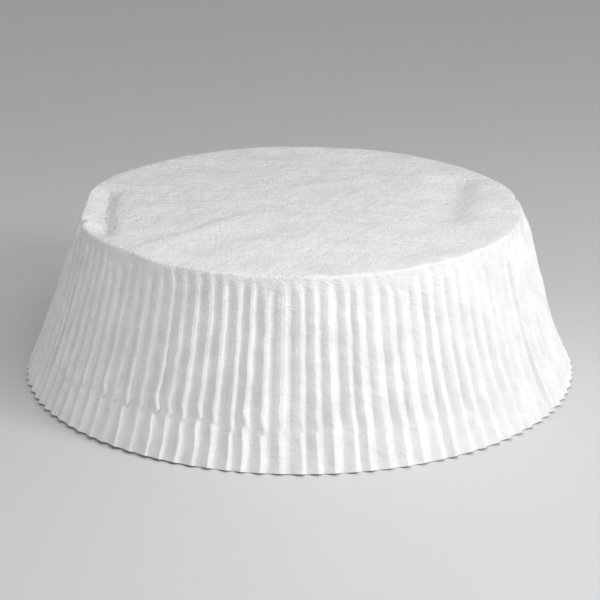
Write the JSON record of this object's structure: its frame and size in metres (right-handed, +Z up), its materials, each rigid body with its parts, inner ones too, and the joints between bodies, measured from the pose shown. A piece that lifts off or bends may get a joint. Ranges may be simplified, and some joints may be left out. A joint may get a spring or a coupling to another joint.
{
  "type": "pleated paper baking liner",
  "caption": "Shallow round baking liner pressed from one disc of thin white paper: a flat base and a flaring wall of fine pleats. It stands upside down on its pleated rim.",
  "frame": {"origin": "centre of the rim, on the surface that the upturned liner stands on", "axes": "+Z up along the liner's axis, from the rim to the underside of its base; X and Y lie in the plane of the rim, with the picture taken from -Y"},
  "size_m": [0.1512, 0.1512, 0.0462],
  "materials": {
    "baking_paper": "matte"
  },
  "bodies": {
    "root": {"pleated_liner": "baking_paper"}
  },
  "joints": []
}
